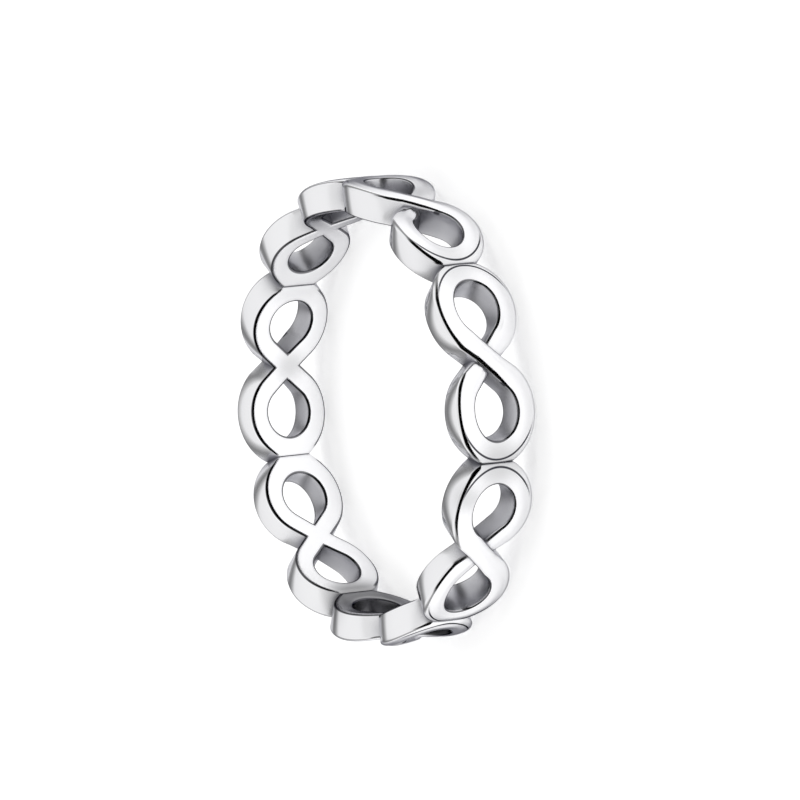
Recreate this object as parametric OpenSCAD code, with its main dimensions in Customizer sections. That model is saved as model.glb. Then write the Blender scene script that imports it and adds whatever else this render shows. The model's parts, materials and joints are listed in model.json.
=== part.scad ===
// Infinity ring: figure eights of silver ribbon, joined end to end into one band.
// Axis +Z, resting on its side at z = 0, with the middle of a figure on +X. Millimetres.
//
// A figure is first drawn flat, with x along the band and z across it. It is two round loops and two
// straight strands that cross between them. The drawing is then wrapped round the finger.

/* [Band] */
// Inside diameter, where the finger goes
finger_d = 17.3; // [15:0.1:22]
// Radial thickness, from the finger to the outer face
thickness = 1.4; // [1:0.05:2]
// Number of infinity figures round the band
figures = 7; // [6:1:9]

/* [Figure] */
// Radius of a loop's centreline, on its round part
loop_r = 1.4; // [1.2:0.05:1.8]
// Slope of the strands against the band where they cross, in degrees
cross_angle = 50; // [40:1:58]
// Width of a strand on the finger side and where the strands cross
strand_w = 0.84; // [0.7:0.02:1]
// How far the outer flank of a loop leans out on its way to the outer face
draft = 0.07; // [0:0.01:0.1]
// How far each loop runs into its neighbour at a joint
joint_overlap = 0.16; // [0.1:0.02:0.2]

/* [Outer face] */
// Depth by which the under strand dips where it passes the over strand
relief = 0.26; // [0.24:0.02:0.6]
// Width and depth of the rounded shoulders along the outer sides of the strands
shoulder_w = 0.3; // [0.22:0.02:0.36]
shoulder_h = 0.2; // [0.1:0.02:0.22]
// Width and depth of the rounded edges round the holes
hole_edge_w = 0.2; // [0.1:0.02:0.26]
hole_edge_h = 0.1; // [0.04:0.01:0.14]

/* [Hidden] */

// Facets: steps of a shoulder, of a straight strand, of a joint, and of a loop's side before and
// after its widest point
shoulder_steps = 2;
straight_steps = 2;
joint_steps = 4;
outer_steps = 4;
inner_steps = 4;
// Depth to which the wrapped figures run inside the bore before it is cut
bore_stock = 0.3;

finger_r = finger_d / 2;
outer_r = finger_r + thickness;
core_r = finger_r - bore_stock;
pitch = 360 / figures;

// Half width of a strand, and how far a loop's outer shoulder and core lie from the loop's centreline
half = strand_w / 2;
half_out = half + draft;
half_core = half - draft * bore_stock / (thickness - shoulder_h);

// The loop's centre, the joint's place and the angle on the loop where the joint ends
loop_x = loop_r / sin(cross_angle);
joint_x = loop_x + loop_r + half_out - joint_overlap;
joint_angle = acos((joint_x - loop_x) / (loop_r + half_out));
// The angle on the loop where the round part runs into the straight strands
tangent_angle = 90 + cross_angle;

// Angles of the stations on one side of a loop, from the joint to the straight strand
SIDE_ANGLES = [
    for (i = [0 : outer_steps]) joint_angle + (90 - joint_angle) * i / outer_steps,
    for (i = [1 : inner_steps]) 90 + cross_angle * i / inner_steps
];

// Lengths of the centreline from the joint to the straight strand, and from there to the crossing
side_len = loop_r * (tangent_angle - joint_angle) * PI / 180;
straight_len = loop_r / tan(cross_angle) - half / sin(2 * cross_angle);

// Width of the band, across all loops
band_w = 2 * (loop_r + half_out);

function mix(a, b, t) = a + (b - a) * t;

// A flat point of figure k, wrapped at radius r. Joint points of two neighbours come out equal.
function wrap(k, p, r) =
    let (turn = (k + p[0] / (2 * joint_x) + figures) % figures)
    [r * cos(turn * pitch), r * sin(turn * pitch), p[1] + loop_r + half_out];

// The flat point at offset o from the over strand's centreline and u from the under strand's
function cross_point(o, u) = [(u - o) / (2 * sin(cross_angle)), (u + o) / (2 * cos(cross_angle))];

// The flat point on a loop at angle a and offset s, outwards from its centreline
function loop_point(a, s) = [loop_x + (loop_r + s) * cos(a), (loop_r + s) * sin(a)];

// Up to the joint's angle, a loop's outer edge lies on the joint plane, where the neighbour cuts it off
function edge_point(a) = [joint_x, (joint_x - loop_x) * tan(a)];
function edge_offset(a) = (joint_x - loop_x) / cos(a) - loop_r;

// Levels across a strand, from the hole side to the outer side: how far the rounded edge has turned,
// from 0 on the flank to 90 on the face, and the side that it is on
LEVELS = [
    for (i = [0 : shoulder_steps]) [90 * i / shoulder_steps, -1],
    for (i = [shoulder_steps : -1 : 0]) [90 * i / shoulder_steps, 1]
];
// The share is 0 at the crossing, where both edges are shoulders, and 1 on the loop
function edge_w(level, share) = level[1] < 0 ? mix(shoulder_w, hole_edge_w, share) : shoulder_w;
function edge_h(level, share) = level[1] < 0 ? mix(shoulder_h, hole_edge_h, share) : shoulder_h;
function level_side(level, share) = level[1] < 0 ? half : mix(half, half_out, share);
function level_offset(level, share) =
    level[1] * (level_side(level, share) - edge_w(level, share) * (1 - cos(level[0])));
function level_radius(level, share, dip) =
    outer_r - edge_h(level, share) * (1 - sin(level[0])) - relief * dip;

// At a joint, the outer shoulder is squeezed up to the joint plane, which leaves a groove between the loops
function joint_offset(level, a) =
    let (face_edge = half_out - shoulder_w)
    level[1] < 0 ? level_offset(level, 1) : mix(face_edge, edge_offset(a), cos(level[0]));

// Stations along a loop, from the over strand's crossing to the under strand's. A row holds the kind
// of station, its place, and the share of the relief by which the face dips there.
function dip_at(length) = pow(sin(90 * length / (side_len + straight_len)), 4);
STATIONS = [
    for (i = [0 : straight_steps - 1]) ["over", i / straight_steps, 0],
    for (i = [len(SIDE_ANGLES) - 1 : -1 : 0]) ["loop", SIDE_ANGLES[i], 0],
    for (i = [1 : joint_steps - 1]) ["loop", joint_angle * (1 - 2 * i / joint_steps), 0],
    for (a = SIDE_ANGLES) ["loop", -a, dip_at(loop_r * (a - joint_angle) * PI / 180)],
    for (i = [1 : straight_steps])
        ["under", 1 - i / straight_steps, dip_at(side_len + straight_len * i / straight_steps)]
];

// A flat point of a station at offset s
function station_point(st, s) =
    st[0] == "over" ? mix(cross_point(s, half), loop_point(tangent_angle, s), st[1])
    : st[0] == "under" ? mix(cross_point(-half, -s), loop_point(-tangent_angle, s), st[1])
    : loop_point(st[1], s);

function is_joint(st) = st[0] == "loop" && abs(st[1]) <= joint_angle + 0.001;
function loop_share(st) = st[0] == "loop" ? 1 : st[1];

// One station's points on the outer face, and on the core: hole side first, outer side last
function face_row(k, side, st) = [
    for (i = [0 : len(LEVELS) - 1])
        let (
            level = LEVELS[i],
            on_plane = is_joint(st) && i == len(LEVELS) - 1,
            s = is_joint(st) ? joint_offset(level, st[1]) : level_offset(level, loop_share(st)),
            p = on_plane ? edge_point(st[1]) : station_point(st, s)
        )
        wrap(k, side * p, level_radius(level, loop_share(st), st[2]))
];
function core_row(k, side, st) =
    let (
        hole = station_point(st, -half),
        edge = is_joint(st) ? edge_point(st[1]) : station_point(st, mix(half, half_core, loop_share(st)))
    )
    [wrap(k, side * hole, core_r), wrap(k, side * edge, core_r)];

// Triangles between two rows of points, seen clockwise from outside when row b follows row a
function strip(a, b) = [
    for (i = [0 : len(a) - 2]) each [[a[i], b[i + 1], b[i]], [a[i], a[i + 1], b[i + 1]]]
];
function flip(triangles) = [for (t = triangles) [t[0], t[2], t[1]]];

// Triangles of a flank's first step, whose edge at the crossing, a to b, is met halfway by the under
// strand's shoulder
function first_flank(a, middle, b, next_a, next_b) =
    [[a, next_a, middle], [middle, next_a, next_b], [middle, next_b, b]];

// Triangles of one loop: the face, the core, the hole's wall and the outer flank
function loop_triangles(k, side) =
    let (
        last = len(STATIONS) - 1,
        face = [for (st = STATIONS) face_row(k, side, st)],
        core = [for (st = STATIONS) core_row(k, side, st)],
        top = len(LEVELS) - 1,
        low_r = level_radius(LEVELS[0], 0, 1),
        hole_mid = wrap(k, side * cross_point(-half, half), low_r),
        edge_mid = wrap(k, side * cross_point(half, half), low_r)
    )
    [
        for (n = [0 : last - 1]) each strip(face[n], face[n + 1]),
        for (n = [0 : last - 1]) each flip(strip(core[n], core[n + 1])),
        each first_flank(face[0][0], hole_mid, core[0][0], face[1][0], core[1][0]),
        each flip(first_flank(face[0][top], edge_mid, core[0][1], face[1][top], core[1][1])),
        for (n = [1 : last - 1])
            each flip(strip([face[n][0], core[n][0]], [face[n + 1][0], core[n + 1][0]])),
        for (n = [1 : last - 1])
            if (!(is_joint(STATIONS[n]) && is_joint(STATIONS[n + 1])))
                each strip([face[n][top], core[n][1]], [face[n + 1][top], core[n + 1][1]])
    ];

// Triangles of the crossing: the over strand's face, the core, and the steps down to the under strand
function cross_triangles(k) =
    let (
        offsets = [for (level = LEVELS) level_offset(level, 0)],
        over = [
            for (u = offsets) [
                for (i = [0 : len(LEVELS) - 1])
                    wrap(k, cross_point(offsets[i], u), level_radius(LEVELS[i], 0, 0))
            ]
        ],
        core = [
            for (u = [-half, half])
                [for (o = [-half, half]) wrap(k, cross_point(o, u), core_r)]
        ]
    )
    [
        for (n = [0 : len(LEVELS) - 2]) each strip(over[n], over[n + 1]),
        each flip(strip(core[0], core[1])),
        for (side = [-1, 1])
            let (
                low = [
                    for (i = [0 : len(LEVELS) - 1])
                        wrap(k, cross_point(side * half, offsets[i]), level_radius(LEVELS[i], 0, 1))
                ],
                high = [
                    for (u = offsets)
                        wrap(k, cross_point(side * half, u), level_radius(LEVELS[0], 0, 0))
                ]
            )
            each (side > 0 ? strip(low, high) : strip(high, low))
    ];

// The whole band: one solid, with the finger's bore cut true
module infinity_band() {
    triangles = [
        for (k = [0 : figures - 1])
            each [each loop_triangles(k, 1), each loop_triangles(k, -1), each cross_triangles(k)]
    ];
    color("silver")
        difference() {
            polyhedron(
                points = [for (t = triangles) each t],
                faces = [for (i = [0 : len(triangles) - 1]) [3 * i, 3 * i + 1, 3 * i + 2]],
                convexity = 10
            );
            // The bore's cutter stands out well past the band, above and below
            translate([0, 0, -band_w])
                cylinder(h = 4 * band_w, r = finger_r, $fn = 180);
        }
}

infinity_band();
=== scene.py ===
"""The infinity ring as it looks: a band of crossed silver ribbons, mirror polished, on a pale floor."""

import json
from math import acos, ceil, cos, pi, radians, sin, tan

import bmesh
import bpy
from mathutils import Matrix, Vector


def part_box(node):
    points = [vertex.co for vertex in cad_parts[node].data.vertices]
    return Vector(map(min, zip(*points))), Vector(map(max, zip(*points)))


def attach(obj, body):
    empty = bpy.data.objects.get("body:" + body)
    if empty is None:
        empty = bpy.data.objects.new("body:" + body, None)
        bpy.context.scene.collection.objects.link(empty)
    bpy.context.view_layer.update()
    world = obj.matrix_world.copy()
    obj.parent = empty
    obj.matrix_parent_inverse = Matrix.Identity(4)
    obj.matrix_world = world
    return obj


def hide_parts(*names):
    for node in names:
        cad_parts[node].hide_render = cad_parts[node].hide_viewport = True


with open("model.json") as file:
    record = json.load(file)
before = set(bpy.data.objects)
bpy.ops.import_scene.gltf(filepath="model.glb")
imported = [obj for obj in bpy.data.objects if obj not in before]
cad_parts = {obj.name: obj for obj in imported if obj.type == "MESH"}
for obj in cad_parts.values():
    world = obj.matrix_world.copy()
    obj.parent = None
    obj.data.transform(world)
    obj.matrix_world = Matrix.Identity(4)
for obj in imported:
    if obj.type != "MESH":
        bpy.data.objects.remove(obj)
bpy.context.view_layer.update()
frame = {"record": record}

# Sizes, in millimetres, as the part has them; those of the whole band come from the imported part
MM = 0.001
NODE = "infinity_band"
LOW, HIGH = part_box(NODE)
FINGER_R = frame["record"]["mounts"][0]["dims"]["r_mm"]
OUTER_R = HIGH.x / MM
BAND_W = (HIGH.z - LOW.z) / MM
FIGURES = 7
LOOP_R = 1.4
CROSS_ANGLE = radians(50)
STRAND_W = 0.84
JOINT_OVERLAP = 0.16
RELIEF = 0.26
# Width and depth of the rounded edges: the outer shoulders, those round a hole, and the finger side's
SHOULDER = (0.3, 0.2)
HOLE_EDGE = (0.2, 0.1)
INNER_EDGE = (0.2, 0.1)
# At a joint, a shoulder gets smaller by this share of what the joint plane cuts off the loop
SQUEEZE = 0.4
# The outer face is slightly crowned
CROWN = 0.03

# Half width of a strand, how far the outer shoulder lies from a loop's centreline, and the shoulder's foot
HALF = STRAND_W / 2
HALF_OUT = BAND_W / 2 - LOOP_R
FOOT_R = OUTER_R - CROWN - SHOULDER[1]

# A figure's flat drawing: the loop's centre, the joint's plane, and the angles on the loop where the joint
# and the straight strand start
LOOP_X = LOOP_R / sin(CROSS_ANGLE)
JOINT_X = LOOP_X + LOOP_R + HALF_OUT - JOINT_OVERLAP
JOINT_ANGLE = acos((JOINT_X - LOOP_X) / (LOOP_R + HALF_OUT))
TANGENT_ANGLE = pi / 2 + CROSS_ANGLE
SIDE_LEN = LOOP_R * (TANGENT_ANGLE - JOINT_ANGLE)
STRAIGHT_LEN = LOOP_R / tan(CROSS_ANGLE) - HALF / sin(2 * CROSS_ANGLE)

# The angle on a loop over which a fillet runs into the joint on the finger side
FILLET = radians(25)

# Fineness of the mesh: the arc between two stations, and counts
ARC_STEP = radians(4)
STRAIGHT_STEPS = 6
SHOULDER_STEPS = 6
FACE_STEPS = 6
EDGE_STEPS = 4
BACK_STEPS = 4
# Points closer than this, in metres, are one, and faces that meet at more than this angle meet in a crease
SAME_POINT = 1e-8
CREASE_ANGLE = radians(30)


def mix(a, b, t):
    return a + (b - a) * t


def wrap(figure, side, point, radius):
    """A flat point of a figure, wrapped round the finger, in metres. Side -1 turns the drawing half round."""
    turn = (figure + side * point[0] / (2 * JOINT_X)) % FIGURES
    angle = 2 * pi * turn / FIGURES
    return Vector((radius * cos(angle), radius * sin(angle), side * point[1] + BAND_W / 2)) * MM


def cross_point(over, under):
    """The flat point at these offsets from the over and the under strand's centrelines."""
    return Vector(((under - over) / (2 * sin(CROSS_ANGLE)), (under + over) / (2 * cos(CROSS_ANGLE))))


def loop_point(angle, offset):
    """The flat point on a loop at an angle and at an offset outwards from its centreline."""
    return Vector((LOOP_X + (LOOP_R + offset) * cos(angle), (LOOP_R + offset) * sin(angle)))


def joint_point(angle):
    """The flat point of the joint plane that lies at this angle on the loop."""
    return Vector((JOINT_X, (JOINT_X - LOOP_X) * tan(angle)))


def joint_offset(angle):
    """Offset of the joint plane from the loop's centreline, at this angle on the loop."""
    return (JOINT_X - LOOP_X) / cos(angle) - LOOP_R


def outer_flank(share, dip):
    """Offset of a loop's outer flank at its shoulder, by how far the strand has the loop's form, 0 to 1."""
    return mix(HALF, HALF_OUT, share * (FOOT_R - RELIEF * dip - FINGER_R) / (FOOT_R - FINGER_R))


def across(edge_steps, face_steps):
    """Rails across a strand, from the hole side: share of the way, and turn of the edge up to the face."""
    turns = [pi / 2 * i / edge_steps for i in range(edge_steps + 1)]
    middle = [(i / face_steps, pi / 2) for i in range(1, face_steps)]
    return [(0, t) for t in turns] + middle + [(1, t) for t in reversed(turns)]


def rail_offset(low, high, low_edge, high_edge, share, turn):
    """Offset of a rail from the strand's centreline, between its two sides and their rounded edges."""
    if share == 0:
        return low + low_edge[0] * (1 - cos(turn))
    if share == 1:
        return high - high_edge[0] * (1 - cos(turn))
    return mix(low + low_edge[0], high - high_edge[0], share)


def face_drop(low_edge, high_edge, share, turn):
    """Depth of a rail below the crown of the outer face."""
    edge = low_edge if share == 0 else high_edge
    return CROWN * (2 * share - 1) ** 2 + edge[1] * (1 - sin(turn))


# Rails along a strand: the outer face from the hole side to the outer side, and the back the other way
FACE = across(SHOULDER_STEPS, FACE_STEPS)
BACK = across(EDGE_STEPS, BACK_STEPS)[::-1]


def dip_at(length):
    """Share of the relief by which the under strand dips, at this length along it from the joint."""
    return sin(pi / 2 * length / (SIDE_LEN + STRAIGHT_LEN)) ** 4


def side_angles():
    """Angles of the stations on one side of a loop, from the joint to the straight strand."""
    outer, inner = pi / 2 - JOINT_ANGLE, CROSS_ANGLE
    outer_steps, inner_steps = ceil(outer / ARC_STEP), ceil(inner / ARC_STEP)
    return ([JOINT_ANGLE + outer * i / outer_steps for i in range(outer_steps)]
            + [pi / 2 + inner * i / inner_steps for i in range(inner_steps + 1)])


def stations():
    """Stations along a loop from the over strand to the under strand: kind, place and share of the dip."""
    sides = side_angles()
    joint_steps = ceil(2 * JOINT_ANGLE / ARC_STEP)
    straight = [i / STRAIGHT_STEPS for i in range(STRAIGHT_STEPS)]
    rows = [("over", t, 0) for t in straight]
    rows += [("loop", a, 0) for a in reversed(sides)]
    rows += [("joint", JOINT_ANGLE * (1 - 2 * i / joint_steps), 0) for i in range(1, joint_steps)]
    rows += [("loop", -a, dip_at(LOOP_R * (a - JOINT_ANGLE))) for a in sides]
    rows += [("under", t, dip_at(SIDE_LEN + STRAIGHT_LEN * (1 - t))) for t in reversed(straight)]
    return [("joint" if kind == "loop" and abs(place) <= JOINT_ANGLE else kind, place, dip)
            for kind, place, dip in rows]


def station_point(kind, place, offset, crossing=HALF):
    """A flat point of a station; crossing is the offset from the other strand where the strand starts."""
    if kind == "over":
        return cross_point(offset, crossing).lerp(loop_point(TANGENT_ANGLE, offset), place)
    if kind == "under":
        return cross_point(-crossing, -offset).lerp(loop_point(-TANGENT_ANGLE, offset), place)
    return loop_point(place, offset)


def loop_share(kind, place):
    """How far a strand has the loop's form, from 0 at the crossing to 1 on the round part."""
    return place if kind in ("over", "under") else 1


def face_row(figure, side, station):
    """One station's points along the rails of the outer face."""
    kind, place, dip = station
    share_here = loop_share(kind, place)
    high = outer_flank(share_here, dip)
    hole_edge = [mix(a, b, share_here) for a, b in zip(SHOULDER, HOLE_EDGE)]
    shoulder = SHOULDER
    if kind == "joint":
        # The shoulder is squeezed up to the joint plane, so a groove is left between the two loops
        plane = joint_offset(place)
        shoulder = [size - SQUEEZE * (high - plane) for size in SHOULDER]
        high = plane
    points = []
    for share, turn in FACE:
        radius = OUTER_R - RELIEF * dip - face_drop(hole_edge, shoulder, share, turn)
        point = station_point(kind, place, rail_offset(-HALF, high, hole_edge, shoulder, share, turn))
        if kind == "joint" and (share, turn) == (1, 0):
            point = joint_point(place)
        points.append(wrap(figure, side, point, radius))
    return points


def back_row(figure, side, station):
    """One station's points along the rails of the finger side."""
    kind, place, dip = station
    high = HALF
    if kind == "joint":
        high = joint_offset(place)
    elif kind == "loop":
        # A fillet leads from the loop's side to the corner of the joint
        high = mix(HALF, HALF_OUT, max(0, 1 - (abs(place) - JOINT_ANGLE) / FILLET) ** 2)
    points = []
    for share, turn in BACK:
        offset = rail_offset(-HALF, high, INNER_EDGE, INNER_EDGE, share, turn)
        crossing = HALF - min(INNER_EDGE[0], offset + HALF, high - offset)
        point = station_point(kind, place, offset, crossing)
        if kind == "joint" and (share, turn) == (1, 0):
            point = joint_point(place)
        points.append(wrap(figure, side, point, FINGER_R + INNER_EDGE[1] * (1 - sin(turn))))
    return points


def strip(a, b):
    """Quads between two rows of points."""
    return [(a[i], a[i + 1], b[i + 1], b[i]) for i in range(len(a) - 1)]


def loop_faces(figure, side):
    """One loop: the outer face, the finger side, the hole's wall and the outer flank."""
    rows = stations()
    face = [face_row(figure, side, st) for st in rows]
    back = [back_row(figure, side, st) for st in rows]
    faces = []
    for n in range(len(rows) - 1):
        faces += strip(face[n], face[n + 1]) + strip(back[n], back[n + 1])
        if n > 0:
            faces.append((back[n][-1], face[n][0], face[n + 1][0], back[n + 1][-1]))
        if n > 0 and not (rows[n][0] == "joint" and rows[n + 1][0] == "joint"):
            faces.append((face[n][-1], back[n][0], back[n + 1][0], face[n + 1][-1]))
    # The first flanks have a corner more, where the under strand's shoulder meets them
    hole_mid = wrap(figure, side, cross_point(-HALF, HALF), FOOT_R - RELIEF)
    edge_mid = wrap(figure, side, cross_point(HALF, HALF), FOOT_R - RELIEF)
    faces.append((back[0][-1], hole_mid, face[0][0], face[1][0], back[1][-1]))
    faces.append((face[0][-1], edge_mid, back[0][0], back[1][0], face[1][-1]))
    return faces


def cross_faces(figure):
    """The crossing: the over strand's face, the back, and the steps down to the under strand."""
    offsets = [rail_offset(-HALF, HALF, SHOULDER, SHOULDER, *rail) for rail in FACE]
    radii = [OUTER_R - face_drop(SHOULDER, SHOULDER, *rail) for rail in FACE]
    over = [[wrap(figure, 1, cross_point(o, u), r) for o, r in zip(offsets, radii)] for u in offsets]
    flat_rails = [rail for rail in BACK if rail[1] == pi / 2]
    levels = [rail_offset(-HALF, HALF, INNER_EDGE, INNER_EDGE, *rail) for rail in flat_rails]
    back = [[wrap(figure, 1, cross_point(o, u), FINGER_R) for o in levels] for u in levels]
    faces = []
    for grid in (over, back):
        for row, next_row in zip(grid, grid[1:]):
            faces += strip(row, next_row)
    for side in (1, -1):
        low = face_row(figure, side, ("under", 0, 1))
        high = [wrap(figure, side, cross_point(-HALF, -o), FOOT_R) for o in offsets]
        faces += strip(low, high)
    return faces


def make_band():
    """The whole band as one closed mesh."""
    faces = []
    for figure in range(FIGURES):
        faces += loop_faces(figure, 1) + loop_faces(figure, -1) + cross_faces(figure)
    points = [point for face in faces for point in face]
    numbers = iter(range(len(points)))
    mesh = bpy.data.meshes.new("silver_band")
    mesh.from_pydata(points, [], [[next(numbers) for _ in face] for face in faces])
    bm = bmesh.new()
    bm.from_mesh(mesh)
    bmesh.ops.remove_doubles(bm, verts=bm.verts, dist=SAME_POINT)
    bmesh.ops.recalc_face_normals(bm, faces=bm.faces)
    bm.to_mesh(mesh)
    bm.free()
    mesh.shade_smooth()
    mesh.set_sharp_from_angle(angle=CREASE_ANGLE)
    band = bpy.data.objects.new("silver_band", mesh)
    bpy.context.scene.collection.objects.link(band)
    weighted = band.modifiers.new("even_shading", "WEIGHTED_NORMAL")
    weighted.keep_sharp = True
    return band


def new_material(name):
    """A node material, with its node tree and its Principled shader."""
    material = bpy.data.materials.new(name)
    material.use_nodes = True
    return material, material.node_tree, material.node_tree.nodes["Principled BSDF"]


def feed(tree, value, socket):
    """Gives a socket its value: a link from another socket, or a number or colour of its own."""
    if isinstance(value, bpy.types.NodeSocket):
        tree.links.new(value, socket)
    else:
        socket.default_value = value


def calculate(tree, operation, *values):
    """A math node on values that are sockets or numbers."""
    node = tree.nodes.new("ShaderNodeMath")
    node.operation = operation
    for value, socket in zip(values, node.inputs):
        feed(tree, value, socket)
    return node.outputs["Value"]


def map_range(tree, value, given, wanted):
    """A value's range, smoothly spread over another."""
    node = tree.nodes.new("ShaderNodeMapRange")
    node.interpolation_type = "SMOOTHSTEP"
    node.inputs["From Min"].default_value, node.inputs["From Max"].default_value = given
    node.inputs["To Min"].default_value, node.inputs["To Max"].default_value = wanted
    tree.links.new(value, node.inputs["Value"])
    return node.outputs["Result"]


def between(tree, value, start, end):
    """1 from a start to an end, each a range of the value over which the result rises or falls."""
    rise = map_range(tree, value, start, (0, 1))
    return calculate(tree, "MULTIPLY", rise, map_range(tree, value, end, (1, 0)))


def mix_colours(tree, factor, a, b):
    """A blend of two colours, each a socket or a colour."""
    node = tree.nodes.new("ShaderNodeMix")
    node.data_type = "RGBA"
    for value, name in ((factor, "Factor"), (a, "A"), (b, "B")):
        feed(tree, value, node.inputs[name])
    return node.outputs["Result"]


def colour_ramp(tree, value, stops):
    """A colour that follows a value, by stops of place and colour."""
    ramp = tree.nodes.new("ShaderNodeValToRGB")
    tree.links.new(value, ramp.inputs["Fac"])
    elements = ramp.color_ramp.elements
    while len(elements) < len(stops):
        elements.new(0.5)
    for element, (place, colour) in zip(elements, stops):
        element.position = place
        element.color = colour
    return ramp.outputs["Color"]


def grey(light):
    """A grey of this brightness."""
    return (light, light, light, 1)


def own_space(tree):
    """Coordinates in the object's own space, in metres."""
    return tree.nodes.new("ShaderNodeTexCoord").outputs["Object"]


def noise(tree, scale, detail, stretch=(1, 1, 1)):
    """Noise over the object's own space, in features per metre."""
    mapping = tree.nodes.new("ShaderNodeMapping")
    mapping.inputs["Scale"].default_value = stretch
    texture = tree.nodes.new("ShaderNodeTexNoise")
    texture.inputs["Scale"].default_value = scale
    texture.inputs["Detail"].default_value = detail
    tree.links.new(own_space(tree), mapping.inputs["Vector"])
    tree.links.new(mapping.outputs["Vector"], texture.inputs["Vector"])
    return texture.outputs["Fac"]


def from_axis(tree):
    """Distance from the finger's axis, in millimetres."""
    flat = tree.nodes.new("ShaderNodeVectorMath")
    flat.operation = "MULTIPLY"
    flat.inputs[1].default_value = (1 / MM, 1 / MM, 0)
    tree.links.new(own_space(tree), flat.inputs[0])
    length = tree.nodes.new("ShaderNodeVectorMath")
    length.operation = "LENGTH"
    tree.links.new(flat.outputs["Vector"], length.inputs[0])
    return length.outputs["Value"]


def flat_place(tree):
    """The place in the flat drawing, in millimetres: along the band from the joint, and across it."""
    split = tree.nodes.new("ShaderNodeSeparateXYZ")
    tree.links.new(own_space(tree), split.inputs["Vector"])
    x, y, z = (split.outputs[axis] for axis in "XYZ")
    turn = calculate(tree, "MULTIPLY", calculate(tree, "ARCTAN2", y, x), FIGURES / (2 * pi))
    place = calculate(tree, "SUBTRACT", calculate(tree, "FRACT", turn), 0.5)
    from_joint = calculate(tree, "MULTIPLY", calculate(tree, "ABSOLUTE", place), 2 * JOINT_X)
    return from_joint, calculate(tree, "SUBTRACT", calculate(tree, "MULTIPLY", z, 1 / MM), BAND_W / 2)


# Zones of painted shade on the silver, in millimetres: the middle, how far the shade is full, where it ends,
# and the share of the colour's brightness that it keeps
PAINTED_SHADE_ZONES = (
    ((9.06, 4.36, 2.40), 0.3, 1.7, 0.80),
    ((9.06, -4.36, 1.89), 0.3, 1.6, 0.68),
    ((8.30, -5.60, 3.20), 0.1, 0.9, 0.76),
    ((-7.78, 3.77, 1.77), 0.1, 1.1, 0.74),
    ((-4.82, 7.39, 1.90), 1.0, 2.4, 0.84),
    ((-4.60, -7.35, 1.90), 1.0, 2.4, 0.36),
    ((5.26, 8.25, 1.30), 0.2, 1.4, 0.80),
    ((0.06, -9.35, 1.89), 1.15, 1.35, 0.10),
)


def paint_shade_zones(tree, colour):
    """The colour, softly darkened by painted shade in the shade zones."""
    for centre, full, end, share in PAINTED_SHADE_ZONES:
        away = tree.nodes.new("ShaderNodeVectorMath")
        away.operation = "DISTANCE"
        away.inputs[1].default_value = [c * MM for c in centre]
        tree.links.new(own_space(tree), away.inputs[0])
        darker = tree.nodes.new("ShaderNodeVectorMath")
        darker.operation = "SCALE"
        tree.links.new(colour, darker.inputs[0])
        factor = map_range(tree, away.outputs["Value"], (full * MM, end * MM), (share, 1))
        tree.links.new(factor, darker.inputs["Scale"])
        colour = darker.outputs["Vector"]
    return colour


# Fine dark lines painted into the colour, standing in for dark reflections along the edges, in millimetres.
# Along the finger side's rounded edges: the depths over which a line starts and ends, and how far from the
# joint it starts
EDGE_LINE = ((0.01, 0.03), (0.075, 0.095))
EDGE_LINE_AWAY = (0.2, 0.35)
# Round a hole's outer edge: the distances from the hole's wall over which the line starts and ends
HOLE_LINE = ((0.002, 0.012), (0.05, 0.08))
# How dark these two lines are at most
LINE_SHARE = 0.85
# Round a loop's outer face: the line's offsets from the loop's centreline at two distances from the joint,
# these distances, how far from its middle it starts to fade and is gone, and the same along the band
RIM_LINE_OFFSETS = (0.20, 0.34)
RIM_LINE_PLACES = (0.1, 1.7)
RIM_LINE_W = (0.018, 0.055)
RIM_LINE_END = (0.7, 1.5)


def painted_edge_line(tree, radius, from_joint):
    """The painted dark reflection line along the rounded edges of the finger side, away from the joints."""
    line = between(tree, calculate(tree, "SUBTRACT", radius, FINGER_R), *EDGE_LINE)
    away = map_range(tree, from_joint, EDGE_LINE_AWAY, (0, LINE_SHARE))
    return calculate(tree, "MULTIPLY", line, away)


def painted_face_lines(tree, from_joint, sideways):
    """The painted dark reflection lines of the outer face: round each loop's face beside a joint, and round
    its hole.
    """
    along = calculate(tree, "SUBTRACT", from_joint, JOINT_X - LOOP_X)
    squares = [calculate(tree, "MULTIPLY", value, value) for value in (along, sideways)]
    radius = calculate(tree, "SQRT", calculate(tree, "ADD", *squares))
    wanted = map_range(tree, from_joint, RIM_LINE_PLACES, [LOOP_R + offset for offset in RIM_LINE_OFFSETS])
    away = calculate(tree, "ABSOLUTE", calculate(tree, "SUBTRACT", radius, wanted))
    near = map_range(tree, from_joint, RIM_LINE_END, (1, 0))
    rim_line = calculate(tree, "MULTIPLY", map_range(tree, away, RIM_LINE_W, (1, 0)), near)
    hole_line = between(tree, calculate(tree, "SUBTRACT", radius, LOOP_R - HALF), *HOLE_LINE)
    return calculate(tree, "MAXIMUM", rim_line, calculate(tree, "MULTIPLY", hole_line, LINE_SHARE))


# The silver's colours: polished, from its faint clouds to its brightest, painted shade in the hollows, and a
# painted dark reflection on a line
POLISHED = ((0, (0.90, 0.90, 0.92, 1)), (1, (0.96, 0.96, 0.97, 1)))
HOLLOW_SHADE = (0.40, 0.40, 0.43, 1)
PAINTED_DARK_REFLECTION = (0.04, 0.04, 0.05, 1)
# The tint at a grazing angle, on the walls and on the rounded edges
WALL_TINT = (0.55, 0.55, 0.57, 1)
EDGE_TINT = (0.18, 0.18, 0.20, 1)
# The openness over which the silver goes from its painted shade and dullness in a hollow to polished, and how
# far off a wall makes a hollow
OPENNESS = (0.45, 0.95)
HOLLOW_REACH = 3 * MM
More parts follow.
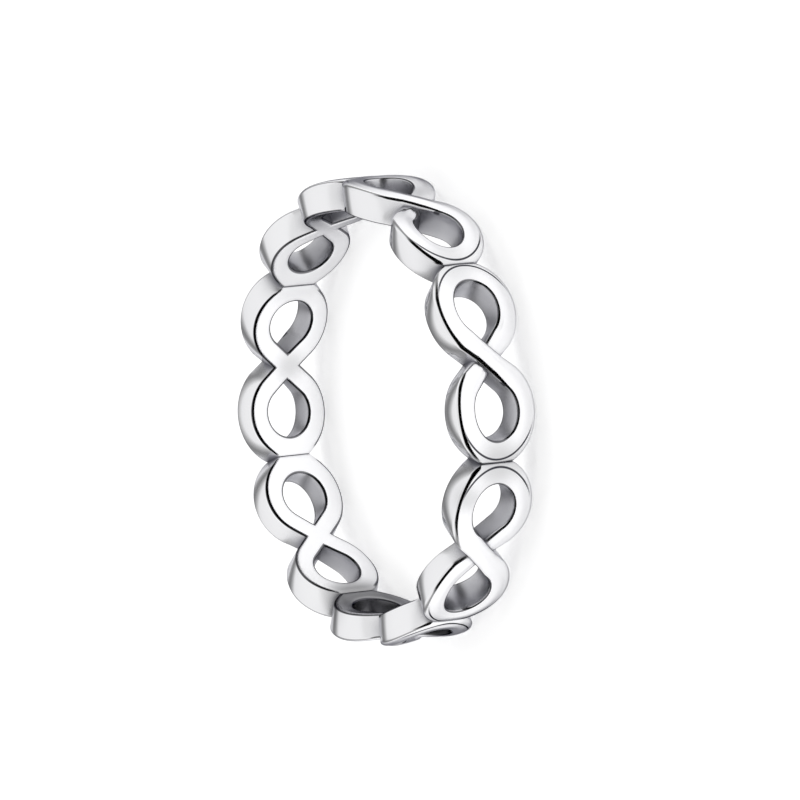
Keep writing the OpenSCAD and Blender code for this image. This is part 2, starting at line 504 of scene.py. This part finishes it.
# Roughness in the hollows, the noise's range that it follows, and by how much the polish lowers it
HOLLOW_ROUGH = (0.38, 0.42)
NOISE_RANGE = (0.3, 0.7)
POLISH_GAIN = 0.28
# Where the outer face with its edges starts, below its highest point, and where the finger side's edges end
OUTER_ZONE = (0.3, 0.2)
INNER_ZONE = (0.1, 0.2)
# The noises' features per metre and detail: faint clouds, uneven polish, and hairline marks with their depth
CLOUDS = (260, 2)
UNEVENNESS = (900, 3)
HAIRLINES = (2500, 4)
HAIRLINE_STRETCH = (1, 1, 0.15)
HAIRLINE_DEPTH = 0.02 * MM
HAIRLINE_STRENGTH = 0.03


def silver_colour(tree, polish_and_shade, lines):
    """Faintly clouded silver, with painted shade down in the hollows and in the shade zones, and the painted
    dark reflection lines.
    """
    polished = colour_ramp(tree, noise(tree, *CLOUDS), POLISHED)
    colour = paint_shade_zones(tree, mix_colours(tree, polish_and_shade, HOLLOW_SHADE, polished))
    return mix_colours(tree, lines, colour, PAINTED_DARK_REFLECTION)


def silver_material():
    """Mirror-polished silver with faint clouds and hairline marks, duller in the hollows, with painted shade
    there.
    """
    material, tree, shader = new_material("polished_silver")
    shader.inputs["Metallic"].default_value = 1
    # Ambient occlusion marks the hollows, where shade is painted into the colour and the silver is rougher
    occlusion = tree.nodes.new("ShaderNodeAmbientOcclusion")
    occlusion.samples = 16
    occlusion.only_local = True
    occlusion.inputs["Distance"].default_value = HOLLOW_REACH
    polish_and_shade = map_range(tree, occlusion.outputs["AO"], OPENNESS, (0, 1))
    radius = from_axis(tree)
    outside = map_range(tree, radius, [OUTER_R - depth for depth in OUTER_ZONE], (0, 1))
    inside = map_range(tree, radius, [FINGER_R + depth for depth in INNER_ZONE], (1, 0))
    from_joint, sideways = flat_place(tree)
    # Painted dark reflection lines, on the outer face and along the finger side's rounded edges
    outer_painted_lines = calculate(tree, "MULTIPLY", painted_face_lines(tree, from_joint, sideways), outside)
    lines = calculate(tree, "MAXIMUM", outer_painted_lines, painted_edge_line(tree, radius, from_joint))
    tree.links.new(silver_colour(tree, polish_and_shade, lines), shader.inputs["Base Color"])
    # Seen at a grazing angle, the rounded edges go darker than the walls
    edges = calculate(tree, "MAXIMUM", outside, inside)
    tree.links.new(mix_colours(tree, edges, WALL_TINT, EDGE_TINT), shader.inputs["Specular Tint"])
    dull = map_range(tree, noise(tree, *UNEVENNESS), NOISE_RANGE, HOLLOW_ROUGH)
    rough = calculate(tree, "MULTIPLY_ADD", polish_and_shade, -POLISH_GAIN, dull)
    tree.links.new(rough, shader.inputs["Roughness"])
    bump = tree.nodes.new("ShaderNodeBump")
    bump.inputs["Strength"].default_value = HAIRLINE_STRENGTH
    bump.inputs["Distance"].default_value = HAIRLINE_DEPTH
    tree.links.new(noise(tree, *HAIRLINES, HAIRLINE_STRETCH), bump.inputs["Height"])
    tree.links.new(bump.outputs["Normal"], shader.inputs["Normal"])
    return material


# The floor: its side in metres, its mottling and the noise behind it, and its own faint glow
FLOOR_SIZE = 0.3
FLOOR_TONES = ((0, grey(0.90)), (1, grey(0.92)))
MOTTLING = (40, 2)
FLOOR_GLOW = 0.4


def floor_material():
    """A matt, pale floor that glows a little, so that the ring's shadow stays soft."""
    material, tree, shader = new_material("pale_floor")
    shader.inputs["Roughness"].default_value = 0.6
    shader.inputs["Specular IOR Level"].default_value = 0.2
    tones = colour_ramp(tree, noise(tree, *MOTTLING), FLOOR_TONES)
    tree.links.new(tones, shader.inputs["Base Color"])
    shader.inputs["Emission Color"].default_value = grey(1)
    shader.inputs["Emission Strength"].default_value = FLOOR_GLOW
    return material


def make_floor():
    """A plain pale floor, at the height that the ring lies on."""
    mesh = bpy.data.meshes.new("floor")
    reach = FLOOR_SIZE / 2
    corners = [(x * reach, y * reach, LOW.z) for x, y in ((-1, -1), (1, -1), (1, 1), (-1, 1))]
    mesh.from_pydata(corners, [], [(0, 1, 2, 3)])
    floor = bpy.data.objects.new("floor", mesh)
    bpy.context.scene.collection.objects.link(floor)
    mesh.materials.append(floor_material())


# The camera, as the photograph has it: its direction from the ring, its roll, its distance, and how far to
# the right of the ring's middle and above it the camera aims
CAMERA_AZIMUTH = radians(-10.15)
CAMERA_ELEVATION = radians(28.4)
CAMERA_ROLL = radians(-95.91)
CAMERA_DISTANCE = 0.4113
AIM_RIGHT = 0.711 * MM
AIM_UP = 0.453 * MM
# The focal length that shows the ring at the photograph's scale, in its pixels and on a sensor in millimetres
FOCAL_PIXELS = 9620
FRAME_PIXELS = 800
SENSOR_W = 36
NEAR_CLIP = 0.01

# The room's brightness by the sine of the elevation: a pale floor up to the horizon, a grey wall that is
# darkest low down, and a bright ceiling
ROOM = (
    (-1.0, 1.0), (-0.05, 1.0), (0.0, 0.9), (0.08, 0.4),
    (0.22, 0.24), (0.36, 0.5), (0.48, 0.92), (1.0, 0.92),
)
# The same on the camera's side, where the room is dark from just below the horizon up to the ceiling
DARK_SIDE = (
    (-1.0, 1.0), (-0.08, 1.0), (-0.04, 0.0), (0.62, 0.0),
    (0.68, 0.9), (0.75, 0.85), (1.0, 0.8),
)
# Over these cosines of the angle to the camera's azimuth, the room goes over into its dark side
SIDE_BLEND = (0.0, 0.3)

# The light overhead: its direction from the ring, its distance and size in metres, and its power in watts
LIGHT_AZIMUTH = radians(150)
LIGHT_ELEVATION = radians(80)
LIGHT_DISTANCE = 0.5
LIGHT_SIZE = 0.5
LIGHT_POWER = 0.5


def room_light(tree, height, stops):
    """The room's brightness at a height, from 0 straight down to 1 straight up."""
    return colour_ramp(tree, height, [((sine + 1) / 2, grey(light)) for sine, light in stops])


def make_world():
    """Soft surroundings: a grey room, bright overhead, and dark on the camera's side."""
    world = bpy.data.worlds.new("studio")
    world.use_nodes = True
    tree = world.node_tree
    direction = tree.nodes.new("ShaderNodeTexCoord").outputs["Generated"]
    split = tree.nodes.new("ShaderNodeSeparateXYZ")
    tree.links.new(direction, split.inputs["Vector"])
    height = calculate(tree, "MULTIPLY_ADD", split.outputs["Z"], 0.5, 0.5)
    near = tree.nodes.new("ShaderNodeVectorMath")
    near.operation = "DOT_PRODUCT"
    near.inputs[1].default_value = (cos(CAMERA_AZIMUTH), sin(CAMERA_AZIMUTH), 0)
    tree.links.new(direction, near.inputs[0])
    share = map_range(tree, near.outputs["Value"], SIDE_BLEND, (0, 1))
    light = mix_colours(tree, share, room_light(tree, height, ROOM), room_light(tree, height, DARK_SIDE))
    tree.links.new(light, tree.nodes["Background"].inputs["Color"])
    bpy.context.scene.world = world


def towards(azimuth, elevation):
    """The direction at a compass angle from +X and a height angle."""
    return Vector((cos(azimuth) * cos(elevation), sin(azimuth) * cos(elevation), sin(elevation)))


def aim(obj, target, roll=0.0):
    """Turns a light or camera at its place to look at the target."""
    back = (obj.location - target).normalized()
    side = Vector((0, 0, 1)).cross(back).normalized()
    up = back.cross(side)
    turned = Matrix((side, up, back)).transposed() @ Matrix.Rotation(roll, 3, "Z")
    obj.matrix_world = Matrix.Translation(obj.location) @ turned.to_4x4()


def make_light():
    """A soft square light overhead, which itself isn't seen in the silver."""
    data = bpy.data.lights.new("overhead", "AREA")
    data.shape = "SQUARE"
    data.size = LIGHT_SIZE
    data.energy = LIGHT_POWER
    light = bpy.data.objects.new("overhead", data)
    bpy.context.scene.collection.objects.link(light)
    light.location = towards(LIGHT_AZIMUTH, LIGHT_ELEVATION) * LIGHT_DISTANCE
    aim(light, Vector((0, 0, 0)))
    light.visible_camera = False
    light.visible_glossy = False


def make_camera():
    """The photograph's camera."""
    data = bpy.data.cameras.new("camera")
    data.lens = FOCAL_PIXELS / FRAME_PIXELS * SENSOR_W
    data.sensor_width = SENSOR_W
    data.clip_start = NEAR_CLIP
    camera = bpy.data.objects.new("camera", data)
    bpy.context.scene.collection.objects.link(camera)
    middle = (LOW + HIGH) / 2
    middle.x = middle.y = 0
    camera.location = middle + towards(CAMERA_AZIMUTH, CAMERA_ELEVATION) * CAMERA_DISTANCE
    aim(camera, middle, CAMERA_ROLL)
    turned = camera.matrix_world.to_3x3()
    camera.location += turned @ Vector((AIM_RIGHT, AIM_UP, 0))
    bpy.context.scene.camera = camera


band = make_band()
band.data.materials.append(silver_material())
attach(band, "root")
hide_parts(NODE)

make_floor()
make_world()
make_light()
make_camera()

bpy.context.scene.view_settings.view_transform = "Standard"
